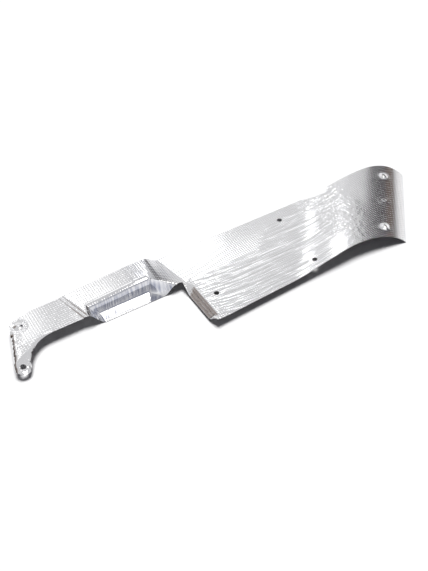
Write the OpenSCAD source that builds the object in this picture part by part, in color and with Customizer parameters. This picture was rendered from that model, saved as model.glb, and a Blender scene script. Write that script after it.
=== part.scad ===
// Heat shield: one long pressed sheet of embossed aluminium, lying as it rests on a flat surface.
// The datum is the hole in the plate nearest the arm: X runs along the back edge, Y towards it, Z up.

/* [Sheet] */
// Thickness of the sheet
sheet_t = 0.8; // [0.5:0.1:1.2]
// Height of the creases pressed into the plate
crease_h = 0.35; // [0.15:0.05:0.6]

/* [Plate] */
// Height of the flat plate above the surface it lies on
plate_h = 11.5; // [9:0.5:14]
// From the datum hole to the straight back edge
back_y = 95; // [85:1:110]
// From the datum hole to the front edge, at the flange
front_y = 41; // [35:1:50]
// How far the front edge comes in towards the arched end
front_taper = 9.5; // [0:0.5:14]
// From the datum hole to the fold of the return flange
fold_x = 18; // [14:0.5:22]
// How far the return flange leans out
flange_run = 10; // [8:0.5:14]
// How far the return flange comes down
flange_drop = 9.5; // [6:0.5:10.5]

/* [Fixing holes] */
// Diameter of the four fixing holes
hole_d = 7; // [5:0.5:9]
// Back hole, along the plate from the datum hole
back_hole_x = 153; // [130:1:170]
// Back hole, towards the back edge from the datum hole
back_hole_y = 75; // [65:1:80]
// Front hole, along the plate from the datum hole
front_hole_x = 144; // [120:1:160]
// Front hole, towards the front edge from the datum hole
front_hole_y = 19; // [12:1:21]

/* [Arm] */
// From the datum hole to the front edge of the arm
notch_y = 40.5; // [36:0.5:46]
// Height of the arm's back panel where it is highest
arm_h = 24.5; // [21:0.5:28]
// From the datum hole to the highest part of the panel
arm_high_x = 85; // [80:1:95]
// Top line of the slope down to the plate, at the back edge
slope_top_back_x = 56; // [52:1:64]
// Top line of the slope down to the plate, at the front
slope_top_front_x = 74; // [70:1:78]
// Foot line of the slope down to the plate, at the back edge
slope_foot_back_x = 34; // [28:1:40]
// Foot line of the slope down to the plate, at the front
slope_foot_front_x = 21.5; // [19:0.5:26]

/* [Recess in the arm] */
// From the datum hole to the foot of the steep wall
wall_y = 56.5; // [52:0.5:60]
// Bend radius along the top of the wall
ridge_r = 7.5; // [5:0.5:9]
// Bend radius along the foot of the wall
wall_foot_r = 1.5; // [1:0.25:2.5]
// Left end of the low flange
recess_left_x = 139; // [130:1:142]
// Length of the ramp at the left end of the recess
ramp_l = 25; // [20:1:27]
// Right end of the low flange, at the wall
recess_right_back_x = 67.5; // [66:0.5:72]
// Right end of the low flange, at its front edge
recess_right_front_x = 55; // [50:1:60]
// Top of the right wall, where it leaves the steep wall
ridge_turn_x = 64.5; // [60:0.5:65]
// Top of the right wall, where it meets the notch
ridge_notch_x = 33; // [31:0.5:36]

/* [Foot] */
// Height of the flat of the foot
foot_h = 16; // [13:0.5:18]
// Height of each of the two steps up to the arm
step_h = 1.4; // [0.8:0.1:2]
// First step, at the front edge of the foot
step_x = 166; // [165:0.5:170]
// How far the steps run askew from front to back
step_skew = 13; // [6:1:16]
// Length between the two steps
step_gap = 5; // [4:0.5:6]
// From the datum hole to the front edge of the foot
foot_front_y = 47; // [43:0.5:50]
// Middle of the lobe's round tip and its hole, along the shield
tip_x = 259; // [250:1:266]
// Middle of the lobe's round tip and its hole, across the shield
tip_y = 18; // [10:1:24]
// Radius of the lobe's round tip
tip_r = 9.5; // [8:0.5:12]
// Lean of the foot's left edge
left_lean = 16.6; // [12:0.2:20]
// Direction of the lobe's right edge
side_dir = 62; // [58:1:68]
// Radius of the hollow between lobe and foot
neck_r = 38; // [28:1:40]
// Tilt of the lobe past its crease
lobe_tilt = 20; // [10:1:26]
// Width of the rim bent down round the lobe
rim_w = 5; // [3:0.5:6]
// Depth of the rim at the left edge
rim_drop = 3.2; // [1:0.2:4]

/* [Arched end] */
// Front corner of the end edge, along the plate
end_x = 283.5; // [270:0.5:300]
// Front corner of the end edge, towards the front
end_y = 47.5; // [42:0.5:55]
// Turn of the end edge away from square
end_turn = 40; // [36:1:42]
// Length of the end edge
end_l = 155; // [148:1:160]
// Height of the crest
arch_h = 22.5; // [18:0.5:28]
// From the end edge to the crest
crest_l = 72; // [60:1:80]
// Length of the gentle rise from the plate to the crest
rise_l = 80; // [60:1:90]
// Depth of the relief notch in the back edge
relief_depth = 9.5; // [5:0.5:12]
// Deepest point of the relief notch
relief_x = 243; // [236:1:248]

/* [Domes] */
// Diameter of the pressed domes
dome_d = 13; // [10:0.5:16]
// Height of the pressed domes
dome_h = 2.6; // [1.5:0.1:3.2]
// From the end edge to the row of domes
dome_inset = 32; // [26:1:38]
// Front dome, along the end edge from its front corner
dome_front = 8; // [6:1:16]
// Back dome, along the end edge from its front corner
dome_back = 124; // [112:1:128]

/* [Hidden] */

// Mesh of the pressed sheet: cells across, from the back edge
panel_cells = 7;
bend_cells = 3;
lip_cells = 2;
low_cells = 4;
front_cells = 24;
wall_cells = bend_cells + 1 + lip_cells;
notch_row = panel_cells + wall_cells + low_cells;
last_row = notch_row + front_cells;

// Small shape helpers
function clamp(v, a = 0, b = 1) = min(b, max(a, v));
function mix(a, b, t) = a + (b - a) * t;
function soft(t) = let (c = clamp(t)) c * c * (3 - 2 * c);
function ramp(v, a, b) = soft((v - a) / (b - a));
function spread(a, b, n) = [for (k = [0 : n - 1]) mix(a, b, k / n)];
function polar(r, a) = r * [cos(a), sin(a)];

// Arched end: its edge line, and the distance of a point from it
end_corner = [end_x, -end_y];
end_dir = polar(1, 90 - end_turn);
end_out = polar(1, -end_turn);
back_corner = end_corner + end_l * end_dir;
function from_end(p) = (end_corner - p) * end_out;
function end_point(along, inset) = end_corner + along * end_dir - inset * end_out;

// Left edge, tip and side of the foot's lobe
tip = [-tip_x, tip_y];
left_dir = polar(1, 90 - left_lean);
left_out = polar(1, 180 - left_lean);
corner_drop = 8.5;
corner_run = 40;
corner_y = back_y - corner_drop;
left_start = tip + tip_r * left_out;
left_top = left_start + left_dir * (corner_y - left_start[1]) / left_dir[1];
side_out = polar(1, side_dir - 90);
side_end = tip + tip_r * side_out;
neck_y = foot_front_y - neck_r;
neck_x = (neck_r + side_end * side_out - neck_y * side_out[1]) / side_out[0];
neck = [neck_x, neck_y];
neck_start = neck - neck_r * side_out;

// Lobe: its crease, placed from the tip, and where its slope has faded out
lobe_crease_at = tip + [38, 26.5];
lobe_turn = -68;
lobe_crease_out = polar(1, lobe_turn);
lobe_fade_l = 13;
lobe_fade = 0.6;
lobe_end_x = lobe_crease_at[0] + lobe_fade_l;

// Outline: back edge and front edge as heights over X
relief_left_l = 39;
relief_right_l = 11;
relief_start = relief_x - relief_left_l;
relief_end = relief_x + relief_right_l;
flare_l = 83.5;
flare_x = end_x - flare_l;
flare_back_l = 73;
flare_back_x = back_corner[0] - flare_back_l;
corner_curve = 1.6;
flare_curve = 2;
flare_back_curve = 2.4;
function relief(x) = relief_depth * lookup(x, [[relief_start, 0], [relief_x, 1], [relief_end, 0]]);
function corner_cut(x) = corner_drop * pow(clamp((left_top[0] + corner_run - x) / corner_run), corner_curve);
function end_cut(x) = (back_y - back_corner[1])
    * pow(clamp((x - flare_back_x) / flare_back_l), flare_back_curve);
function back_edge(x) = back_y - corner_cut(x) - relief(x) - end_cut(x);
narrow_y = front_y - front_taper;
function front_edge(x) = -mix(front_y, narrow_y, clamp((x + fold_x) / (flare_x + fold_x)))
    - (end_y - narrow_y) * pow(clamp((x - flare_x) / flare_l), flare_curve);
function arm_edge(x) = mix(foot_front_y, notch_y, ramp(x, -step_x, -recess_left_x));

// Fold of the flange, steps and recess, as places along X and Y
flange_out_x = -fold_x - flange_run;
ramp_top_x = -recess_left_x - ramp_l;
wall_lean = 80;
wall_play = 0.7;
wall_run = (ridge_r + wall_foot_r) * sin(wall_lean) + wall_play;
ridge_y = wall_y + wall_run;
step_run = 1.2;

// Stations: each is a line across the sheet, through its point at the back edge, at the ridge,
// at the foot of the wall and at the notch line or front edge; on the plate also at the front edge
ridge_row = panel_cells;
foot_row = panel_cells + wall_cells;
even_ridge = ridge_row / notch_row;
even_foot = foot_row / notch_row;
function across_at(b, n, y) = mix(b, n, (b[1] - y) / (b[1] - n[1]));
function even_line(b, n) = [b, mix(b, n, even_ridge), mix(b, n, even_foot), n];
function arm_line(b, n) = [b, across_at(b, n, ridge_y), across_at(b, n, wall_y), n];
function between(a, b, n) = [for (k = [1 : n]) mix(a, b, k / n)];

foot_front = concat(
    [for (a = spread(180 - left_lean, 270 + side_dir, 6)) tip + polar(tip_r, a)],
    spread(side_end, neck_start, 2),
    [for (a = spread(90 + side_dir, 90, 6)) neck + polar(neck_r, a)],
    spread([neck_x, foot_front_y], [-step_x, foot_front_y], 4));
foot_n = len(foot_front);
foot_stations = [for (k = [0 : foot_n - 1])
    let (x = mix(left_top[0], -step_x - step_skew, k / foot_n), b = [x, back_edge(x)], n = foot_front[k])
    mix(even_line(b, n), arm_line(b, n), n[0] > lobe_end_x ? pow(k / foot_n, 2) : 0)];

step_marks = [0, step_run, step_gap, step_gap + step_run];
step_stations = [for (m = step_marks)
    arm_line([m - step_x - step_skew, back_y], [m - step_x, arm_edge(m - step_x)])];

// Along the arm the stations lean a little to the left from the wall's foot to the ridge and the back edge
lean_ridge = 2;
lean_back = 8;
ramp_skew = 9;
arm_start = step_run + step_gap - step_x;
ramp_mark_x = ramp_top_x + ramp_skew - lean_ridge;
ramp_top = [[arm_start - lean_ridge, back_y], [ramp_mark_x + lean_ridge, ridge_y], [ramp_mark_x, wall_y],
    [ramp_mark_x, arm_edge(ramp_mark_x)]];
ramp_foot = [[-recess_left_x - lean_back, back_y], [-recess_left_x - lean_ridge, ridge_y],
    [-recess_left_x, wall_y], [-recess_left_x, notch_y]];
right_foot = [[-slope_top_back_x, back_y], [-recess_right_back_x - lean_ridge, ridge_y],
    [-recess_right_back_x, wall_y], [-recess_right_front_x, notch_y]];
function slope_back(share) = [-mix(slope_top_back_x, slope_foot_back_x, share), back_y];
right_top = [slope_back(0.25), [-ridge_turn_x - lean_ridge, ridge_y], [-ridge_turn_x, wall_y],
    [-ridge_notch_x, notch_y]];
flange_edge = arm_line(slope_back(0.75), [flange_out_x, notch_y]);
fold_lean = 1;
fold_line = even_line([-fold_x, back_y], [-fold_x + fold_lean, notch_y]);
arm_stations = concat(
    between(step_stations[3], ramp_top, 1),
    between(ramp_top, ramp_foot, 4),
    between(ramp_foot, right_foot, 6),
    between(right_foot, right_top, 3),
    between(right_top, flange_edge, 5));
fold_stations = between(flange_edge, fold_line, 4);

// Plate and arch: the station lines fan out until they lie along the crest. Between two marks they
// are evenly spread, at the front edge and at the back edge
crest_front_share = 1.02;
crest_back_share = 1.15;
crest_front_x = end_x - crest_front_share * crest_l;
crest_back_x = back_corner[0] - crest_back_share * crest_l;
lip_l = 26;
fan_cells = [11, 7, 3, 1, 4, 6, 6];
front_marks = [-fold_x + fold_lean, crest_front_x - 110, crest_front_x - 55, crest_front_x - 30,
    crest_front_x - 23, crest_front_x, end_x - lip_l, end_x];
back_marks = [-fold_x + fold_lean, relief_start - 99, relief_start, relief_x, relief_end,
    crest_back_x, back_corner[0] - lip_l, back_corner[0]];
function fan(marks) = concat(
    [for (k = [0 : len(fan_cells) - 1]) each spread(marks[k], marks[k + 1], fan_cells[k])],
    [marks[len(fan_cells)]]);
fan_front = fan(front_marks);
fan_back = fan(back_marks);

// Share of a plate station that lies behind its notch row, over X at the front edge
notch_share = (back_y - notch_y) / (back_y + front_y);
split_marks = [[-fold_x, notch_share], [10, 0.47], [60, 0.54], [flare_x, 0.54], [end_x, 0.41]];
plate_stations = [for (k = [0 : len(fan_front) - 1])
    let (b = [fan_back[k], back_edge(fan_back[k])], f = [fan_front[k], front_edge(fan_front[k])])
    concat(even_line(b, mix(b, f, lookup(f[0], split_marks))), [f])];

flange_first = foot_n + len(step_stations) + len(arm_stations) - 1;
stations = concat(foot_stations, step_stations, arm_stations, fold_stations, plate_stations);
last_station = len(stations) - 1;

// Rows: places along a station line, crowded at the recess wall along the arm
wall_rows = concat(
    [for (k = [0 : bend_cells]) ridge_r * sin(wall_lean * k / bend_cells)],
    [for (k = [lip_cells : -1 : 0]) wall_run - wall_foot_r * sin(wall_lean * k / lip_cells)]) / wall_run;
function crowding(x) = ramp(x, ramp_top_x, -recess_left_x) * (1 - ramp(x, -ridge_notch_x, -fold_x));
function row_place(s, j) =
    j <= ridge_row ? mix(s[0], s[1], j / ridge_row)
    : j <= foot_row ? mix(s[1], s[2],
        mix((j - ridge_row) / wall_cells, wall_rows[j - ridge_row], crowding(s[3][0])))
    : j <= notch_row ? mix(s[2], s[3], (j - foot_row) / low_cells)
    : mix(s[3], s[4], (j - notch_row) / front_cells);

// Front corner of the flange pulls back in plan as its depth fades out
flange_fade_l = 22;
flange_corner_l = 14;
corner_pull = 0.6;
corner_depth = 0.05;
function near_corner(y, least) = mix(least, 1, soft((y + front_y) / flange_corner_l));
function flange_share(y) = soft((notch_y - y) / flange_fade_l) * near_corner(y, corner_depth);
function flange_place(x, y) = x > -fold_x ? x : -fold_x + (x + fold_x) * near_corner(y, corner_pull);
function flange_line(x, j) = let (y = mix(notch_y, -front_y, (j - notch_row) / front_cells))
    [flange_place(x, y), y];
function place(i, j) = i >= flange_first && i <= flange_first + len(fold_stations) && j > notch_row
    ? flange_line(stations[i][3][0], j)
    : row_place(stations[i], j);

// Heights of the pressed form over the plan
step_back_share = 0.6;
function steps(x, y) = let (t = (y - foot_front_y) / (back_y - foot_front_y))
    let (q = x + step_skew * t + step_x)
    step_h * mix(1, step_back_share, clamp(t))
        * (ramp(q, 0, step_run) + ramp(q, step_gap, step_gap + step_run));
function panel(x, y) = foot_h + steps(x, y)
    + (arm_h - foot_h - 2 * step_h) * clamp((x - arm_start) / (-arm_high_x - arm_start));
function slope(x, y) = let (t = (back_y - y) / (back_y - notch_y))
    let (top = mix(slope_top_back_x, slope_top_front_x, t))
    let (foot = mix(slope_foot_back_x, slope_foot_front_x, t))
    soft((x + top) / (top - foot));
function arch(d) = d > crest_l
    ? (arch_h - plate_h) * (1 + cos(180 * clamp((d - crest_l) / rise_l))) / 2
    : sheet_t / 2 - plate_h + (arch_h - sheet_t / 2) * (1 - pow(1 - d / crest_l, 3));
function arch_slope(d) = d > crest_l
    ? -(arch_h - plate_h) / 2 * sin(180 * clamp((d - crest_l) / rise_l)) * PI / rise_l
    : (arch_h - sheet_t / 2) * 3 / crest_l * pow(1 - d / crest_l, 2);
function outer_h(x, y) = mix(panel(x, y), plate_h, slope(x, y)) + arch(from_end([x, y]));

// Recess: the share of the way down to the low flange, for each of its three walls
wall_top_s = ridge_r * sin(wall_lean);
wall_top_d = ridge_r * (1 - cos(wall_lean));
wall_foot_s = wall_run - wall_foot_r * sin(wall_lean);
wall_foot_d = wall_foot_r * (1 - cos(wall_lean));
function wall_down(s, depth) =
    s <= 0 ? 0
    : s < wall_top_s ? ridge_r - sqrt(ridge_r * ridge_r - s * s)
    : s < wall_foot_s ? mix(wall_top_d, depth - wall_foot_d, (s - wall_top_s) / (wall_foot_s - wall_top_s))
    : s < wall_run ? depth - wall_foot_r + sqrt(pow(wall_foot_r, 2) - pow(wall_run - s, 2))
    : depth;
function left_share(x, y) = let (top = ramp_top_x + ramp_skew * clamp((y - notch_y) / (ridge_y - notch_y)))
    soft((x - top) / (-recess_left_x - top));
function right_share(x, y) = let (t = clamp((wall_y - y) / (wall_y - notch_y)))
    let (top = -mix(ridge_turn_x, ridge_notch_x, t))
    let (foot = -mix(recess_right_back_x, recess_right_front_x, t))
    soft((top - x) / (top - foot));
// The steep wall and the right wall meet in a rounded corner
function round_corner(a, b) = max(0, 1 - norm([1 - a, 1 - b]));
function recess_share(x, y, depth) = x > -ridge_notch_x ? 0
    : min(left_share(x, y), round_corner(wall_down(ridge_y - y, depth) / depth, right_share(x, y)));

// Lobe and rim of the foot: the rim is full along the left edge and shallower round the lobe
rim_fade_l = 10;
rim_share = 0.6;
function lobe_down(p) = tan(lobe_tilt)
    * max(0, min((p - lobe_crease_at) * lobe_crease_out, (lobe_end_x - p[0]) * lobe_fade));
function left_inset(p) = (left_top - p) * left_out;
function neck_inset(p) = p[0] > lobe_end_x ? rim_w : norm(p - neck) - neck_r;
function tip_inset(p) = let (r = p - tip) (r * left_dir > 0) ? rim_w : tip_r - norm(r);
function rim_down(p) =
    rim_drop * pow(1 - clamp(left_inset(p) / rim_w), 2) * soft((corner_y - p[1]) / rim_fade_l - 1)
    + rim_share * rim_drop * pow(1 - clamp(min(neck_inset(p), tip_inset(p)) / rim_w), 2);

// Creases pressed into the plate along its rows, fading near holes and ends
holes = [[0, 0], [back_hole_x, back_hole_y], [front_hole_x, -front_hole_y]];
crease_fade_l = 9;
crease_start_l = 14;
crease_end_l = 50;
function clear_of_holes(p) = min([for (h = holes) soft((norm(p - h) - hole_d / 2 - 1) / crease_fade_l)]);
crease_turn = 137.5;
crease_long = 1.9;
crease_short = 4.7;
function crease_wave(x, j) = clamp(0.45 + 0.45 * sin(x * crease_long + j * crease_turn)
    + 0.3 * sin(x * crease_short + j * crease_turn / 2));
crease_back = [[-fold_x, notch_y], [90, notch_y], [back_hole_x - 30, back_hole_y - 3],
    [relief_start, back_y - 7]];
function crease_zone(p) = let (edge = lookup(p[0], crease_back))
    ramp(p[0], -fold_x, -fold_x + crease_start_l) * (1 - ramp(p[1], edge - 5, edge))
    * ramp(from_end(p), crest_l + crease_end_l - 30, crest_l + crease_end_l);
function crease(p, j) = crease_h * (j % 2 == 0 ? 1 : -1) * crease_wave(p[0], j)
    * clear_of_holes(p) * crease_zone(p) * soft((last_row - j) / 3);

// Domes: where each stands, and its size as a share of the largest
foot_dome_at = [left_top[0] + 8.5, corner_y - 9];
foot_dome_share = 0.9;
small_dome_share = 0.55;
domes = [
    [end_point(dome_front, dome_inset), 1],
    [end_point((dome_front + dome_back) / 2, dome_inset), small_dome_share],
    [end_point(dome_back, dome_inset), 1],
    [foot_dome_at, foot_dome_share]];

// Height of the middle of the sheet over a point of the plan
function form_h(p) = let (x = p[0], y = p[1], top = outer_h(x, y), depth = top - sheet_t / 2)
    top - depth * recess_share(x, y, depth);
function fold_down(p) = p[1] > notch_y || p[0] > -fold_x || p[0] < flange_out_x - 1 ? 0
    : flange_drop * (-fold_x - p[0]) / flange_run * flange_share(p[1]);
function sheet_point(i, j) = let (p = place(i, j))
    [p[0], p[1], form_h(p) - fold_down(p) - (p[0] < lobe_end_x ? lobe_down(p) + rim_down(p) : 0)
        + crease(p, j) - plate_h];

middle = [for (i = [0 : last_station])
    [for (j = [0 : (i < flange_first ? notch_row : last_row)]) sheet_point(i, j)]];

// Square to the sheet at a mesh point, from its neighbours
function along(i, j) = let (a = i > 0 && j < len(middle[i - 1]) ? i - 1 : i)
    middle[min(i + 1, last_station)][j] - middle[a][j];
function across(i, j) = middle[i][min(j + 1, len(middle[i]) - 1)] - middle[i][max(j - 1, 0)];
function square_to(i, j) = let (n = cross(across(i, j), along(i, j))) n / norm(n);

narrow_rows = notch_row + 1;
wide_rows = last_row + 1;
side_count = flange_first * narrow_rows + (last_station + 1 - flange_first) * wide_rows;
function at(i, j) = i < flange_first ? i * narrow_rows + j
    : flange_first * narrow_rows + (i - flange_first) * wide_rows + j;
function skin(side) = [for (i = [0 : last_station]) for (j = [0 : len(middle[i]) - 1])
    middle[i][j] + side * sheet_t / 2 * square_to(i, j)];
function tiles(i, j) = let (a = at(i, j), b = at(i + 1, j), c = at(i + 1, j + 1), d = at(i, j + 1))
    let (m = side_count) [[a, b, c], [a, c, d], [m + a, m + c, m + b], [m + a, m + d, m + c]];
function edge_tiles(a, b) = [[a, side_count + a, b], [b, side_count + a, side_count + b]];

module pressed_sheet() {
    points = concat(skin(1), skin(-1));
    cells = [for (i = [0 : last_station - 1]) for (j = [0 : len(middle[i]) - 2]) each tiles(i, j)];
    rims = [
        for (i = [0 : last_station - 1]) each edge_tiles(at(i, 0), at(i + 1, 0)),
        for (i = [0 : flange_first - 1]) each edge_tiles(at(i + 1, notch_row), at(i, notch_row)),
        for (i = [flange_first : last_station - 1]) each edge_tiles(at(i + 1, last_row), at(i, last_row)),
        for (j = [0 : notch_row - 1]) each edge_tiles(at(0, j + 1), at(0, j)),
        for (j = [notch_row : last_row - 1]) each edge_tiles(at(flange_first, j + 1), at(flange_first, j)),
        for (j = [0 : last_row - 1]) each edge_tiles(at(last_station, j), at(last_station, j + 1))];
    polyhedron(points, concat(cells, rims), convexity = 6);
}

// Stands what it is given square to the sheet at a place of the plan
module square_to_sheet(p) {
    translate([p[0], p[1], form_h(p) - plate_h]) rotate([0, 0, -end_turn])
        rotate([0, atan(arch_slope(from_end(p))), 0]) children();
}

module square_to_lobe() {
    translate([tip[0], tip[1], foot_h - lobe_down(tip) - plate_h]) rotate([0, 0, lobe_turn])
        rotate([0, lobe_tilt, 0]) children();
}

hole_cut_l = 12;
module fixing_hole() {
    cylinder(d = hole_d, h = hole_cut_l, center = true, $fn = 48);
}

// Pressed domes: a ball shows above the sheet, and one smaller by the sheet's thickness hollows it
module dome_ball(share, skin) {
    d = share * dome_d;
    h = share * dome_h;
    r = (d * d / 4 + h * h) / (2 * h);
    translate([0, 0, h + sheet_t / 2 - r]) sphere(r = r - skin, $fn = 64);
}

module dome_top(share) {
    intersection() {
        dome_ball(share, 0);
        cylinder(d = 1.3 * share * dome_d, h = 2 * dome_h, $fn = 48);
    }
}

module shield() {
    color([0.86, 0.87, 0.89]) difference() {
        union() {
            pressed_sheet();
            for (dome = domes) square_to_sheet(dome[0]) dome_top(dome[1]);
        }
        for (dome = domes) square_to_sheet(dome[0]) dome_ball(dome[1], sheet_t);
        for (h = holes) square_to_sheet(h) fixing_hole();
        square_to_lobe() fixing_hole();
    }
}

shield();
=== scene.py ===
import math

import bpy
import numpy as np
from bpy.props import FloatProperty, FloatVectorProperty, IntProperty, PointerProperty
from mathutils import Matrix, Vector


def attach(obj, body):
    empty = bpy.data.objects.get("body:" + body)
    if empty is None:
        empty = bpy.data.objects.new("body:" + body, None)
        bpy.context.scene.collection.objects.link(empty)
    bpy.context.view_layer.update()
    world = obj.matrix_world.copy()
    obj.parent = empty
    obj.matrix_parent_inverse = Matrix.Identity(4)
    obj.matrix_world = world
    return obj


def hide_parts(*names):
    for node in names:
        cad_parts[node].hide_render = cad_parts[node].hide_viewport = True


bl_info = {
    "name": "Heat shield",
    "version": (1, 0, 0),
    "blender": (4, 5, 0),
    "location": "View3D > Sidebar > Heat shield",
    "description": "Presses a long embossed heat shield from one sheet of aluminium and lays it on a stage",
    "category": "Object",
}

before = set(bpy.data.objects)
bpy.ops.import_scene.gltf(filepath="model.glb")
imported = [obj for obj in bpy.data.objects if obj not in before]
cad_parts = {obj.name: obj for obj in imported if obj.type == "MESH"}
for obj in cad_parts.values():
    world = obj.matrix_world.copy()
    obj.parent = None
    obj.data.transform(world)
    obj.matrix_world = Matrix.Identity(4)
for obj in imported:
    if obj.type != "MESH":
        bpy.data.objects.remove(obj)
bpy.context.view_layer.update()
MM = 0.001


class SheetSizes(bpy.types.PropertyGroup):
    """Sizes of the pressed sheet, from the datum hole in the plate."""

    thickness: FloatProperty(
        name="Sheet thickness",
        description="Thickness of the sheet",
        default=0.8 * MM,
        unit="LENGTH",
    )
    fine_along: IntProperty(
        name="Cells along",
        description="How finely the sheet is cut along its length",
        default=5,
    )
    fine_across: IntProperty(
        name="Cells across",
        description="How finely the sheet is cut across",
        default=3,
    )
    plate_h: FloatProperty(
        name="Plate height",
        description="Height of the plate over the floor",
        default=11.5 * MM,
        unit="LENGTH",
    )
    hole_d: FloatProperty(
        name="Hole diameter",
        description="Diameter of the fixing holes",
        default=7.0 * MM,
        unit="LENGTH",
    )
    crease_h: FloatProperty(
        name="Crease height",
        description="Height of the creases in the plate",
        default=0.3 * MM,
        unit="LENGTH",
    )


class SheetFinish(bpy.types.PropertyGroup):
    """Finish of the aluminium, with painted shade on the lattice dots, the underside and the cut edges, and a
    painted reflection on the walls.
    """

    metal: FloatVectorProperty(
        name="Aluminium",
        description="Colour of the bare metal",
        subtype="COLOR",
        default=(0.86, 0.86, 0.87),
    )
    # Painted reflection: a blue-grey that stands in for the dark room mirrored in the steep walls, laid on in
    # streaks
    painted_wall_reflection: FloatVectorProperty(
        name="Drawn metal",
        description="Colour of the drawn walls",
        subtype="COLOR",
        default=(0.30, 0.32, 0.40),
    )
    # Partly painted shade: a near black for the dull sheared edge that also paints the contact shade along
    # the edges
    cut_edge_and_contact_shade: FloatVectorProperty(
        name="Cut edge",
        description="Colour of the sheared edge",
        subtype="COLOR",
        default=(0.08, 0.08, 0.085),
    )
    # Painted shade: the side that faces the floor is darker, which deepens the shadows under the sheet
    shaded_underside: FloatVectorProperty(
        name="Underside",
        description="Colour of the side that faces the floor",
        subtype="COLOR",
        default=(0.3, 0.3, 0.31),
    )
    # Painted shade: the lattice dots are darkened towards this colour, by the share below, to stand in for
    # the shade of the pressed relief
    valleys: FloatVectorProperty(
        name="Valleys",
        description="Colour that the valleys of the lattice tend to",
        subtype="COLOR",
        default=(0.1, 0.1, 0.1),
    )
    lattice_shade: FloatProperty(
        name="Valley shade",
        description="How dull the valleys of the lattice are",
        default=0.30,
        subtype="FACTOR",
    )
    roughness: FloatProperty(
        name="Roughness",
        description="Blur of the mirror image",
        default=0.08,
        subtype="FACTOR",
    )
    emboss_pitch: FloatProperty(
        name="Emboss pitch",
        description="Spacing of the pressed lattice",
        default=3.3 * MM,
        unit="LENGTH",
    )
    emboss_depth: FloatProperty(
        name="Emboss depth",
        description="Depth of the pressed lattice",
        default=0.34 * MM,
        unit="LENGTH",
    )
    wrinkle_depth: FloatProperty(
        name="Wrinkle depth",
        description="Depth of the finest wrinkles",
        default=0.06 * MM,
        unit="LENGTH",
    )
    crumple_depth: FloatProperty(
        name="Crumple depth",
        description="Depth of the crumples",
        default=1.0 * MM,
        unit="LENGTH",
    )
    streak_depth: FloatProperty(
        name="Streak depth",
        description="Depth of the draw marks on the wall and slope",
        default=0.25 * MM,
        unit="LENGTH",
    )


class StageSettings(bpy.types.PropertyGroup):
    """Floor, light and camera."""

    floor_colour: FloatVectorProperty(
        name="Floor",
        description="Colour of the floor",
        subtype="COLOR",
        default=(0.93, 0.93, 0.93),
    )
    lamp_level: FloatProperty(
        name="Lamp level",
        description="Strength of the overhead lamp",
        default=3.4,
        min=0.0,
    )
    lamp_spread: FloatProperty(
        name="Lamp spread",
        description="Breadth of the overhead lamp",
        default=math.radians(28),
        unit="ROTATION",
    )
    lamp_lean: FloatProperty(
        name="Lamp lean",
        description="How far the lamp stands behind",
        default=math.radians(14),
        unit="ROTATION",
    )
    fill: FloatProperty(
        name="Fill",
        description="Level of the light from all round",
        default=0.09,
        min=0.0,
    )
    camera_distance: FloatProperty(
        name="Camera distance",
        description="From the lens to the middle of the view",
        default=1.05,
        unit="LENGTH",
    )
    camera_height: FloatProperty(
        name="Camera elevation",
        description="Angle of the view over the floor",
        default=math.radians(45),
        unit="ROTATION",
    )
    camera_turn: FloatProperty(
        name="Camera turn",
        description="Turn of the view about the shield",
        default=math.radians(32.2),
        unit="ROTATION",
    )


# Small helpers for shapes worked out in millimetres


def clamp(value, low=0.0, high=1.0):
    return np.minimum(high, np.maximum(low, value))


def mix(a, b, t):
    return a + (b - a) * t


def soft(t):
    c = clamp(t)
    return c * c * (3 - 2 * c)


def ramp(value, a, b):
    return soft((value - a) / (b - a))


def polar(r, degrees):
    return r * np.array([math.cos(math.radians(degrees)), math.sin(math.radians(degrees))])


# Sizes of the form, in millimetres, as in the CAD model: plate, return flange and notch
PLATE_H = 11.5
SHEET_T = 0.8
BACK_Y, FRONT_Y, FRONT_TAPER = 95.0, 41.0, 9.5
FOLD_X, FLANGE_RUN, FLANGE_DROP = 18.0, 10.0, 9.5
FLANGE_OPEN_L, FLANGE_END_L, FLANGE_END_LEAN, FLANGE_END_W = 22.0, 14.0, 0.05, 0.6
FLANGE_OUT_X = -FOLD_X - FLANGE_RUN
FOLD_IN_X = 1 - FOLD_X
NOTCH_Y, FOOT_FRONT_Y = 40.5, 47.0

# Arm with its recess and its slope
ARM_H, ARM_HIGH_X = 24.5, 85.0
SLOPE_TOP, SLOPE_FOOT = (56.0, 74.0), (34.0, 21.5)
WALL_Y, RIDGE_R, WALL_FOOT_R = 56.5, 7.5, 1.5
WALL_LEAN = math.radians(80)
WALL_FLAT = 0.7
WALL_RUN = (RIDGE_R + WALL_FOOT_R) * math.sin(WALL_LEAN) + WALL_FLAT
RIDGE_Y = WALL_Y + WALL_RUN
RECESS_LEFT_X, RAMP_L, RAMP_SKEW = 139.0, 25.0, 9.0
RAMP_TOP_X = -RECESS_LEFT_X - RAMP_L
RIGHT_FOOT, RIGHT_TOP = (67.5, 55.0), (64.5, 33.0)

# Foot, the two steps up to the arm, and the lobe
FOOT_H, STEP_H, STEP_X, STEP_SKEW, STEP_GAP, STEP_RUN = 16.0, 1.4, 166.0, 13.0, 5.0, 2.3
STEP_BACK_SHARE = 0.6
ARM_START = STEP_RUN + STEP_GAP - STEP_X
TIP, TIP_R, LEFT_LEAN, SIDE_DIR, NECK_R = np.array([-259.0, 18.0]), 9.5, 16.6, 62.0, 38.0
LOBE_TILT, LOBE_END_X, LOBE_BLEND = 20.0, -208.0, 0.6
LOBE_CREASE_AT, LOBE_CREASE_OUT = np.array([-221.0, 44.5]), polar(1, -68)
RIM_W, RIM_DROP, RIM_TOP_Y, RIM_FADE_L = 5.0, 3.2, 76.0, 10.0
NECK_RIM_SHARE, NECK_RIM_FADE_L = 0.35, 12.0
CORNER_DROP, CORNER_RUN, CORNER_BEND = 8.5, 40.0, 1.6
CORNER_Y = BACK_Y - CORNER_DROP
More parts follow.
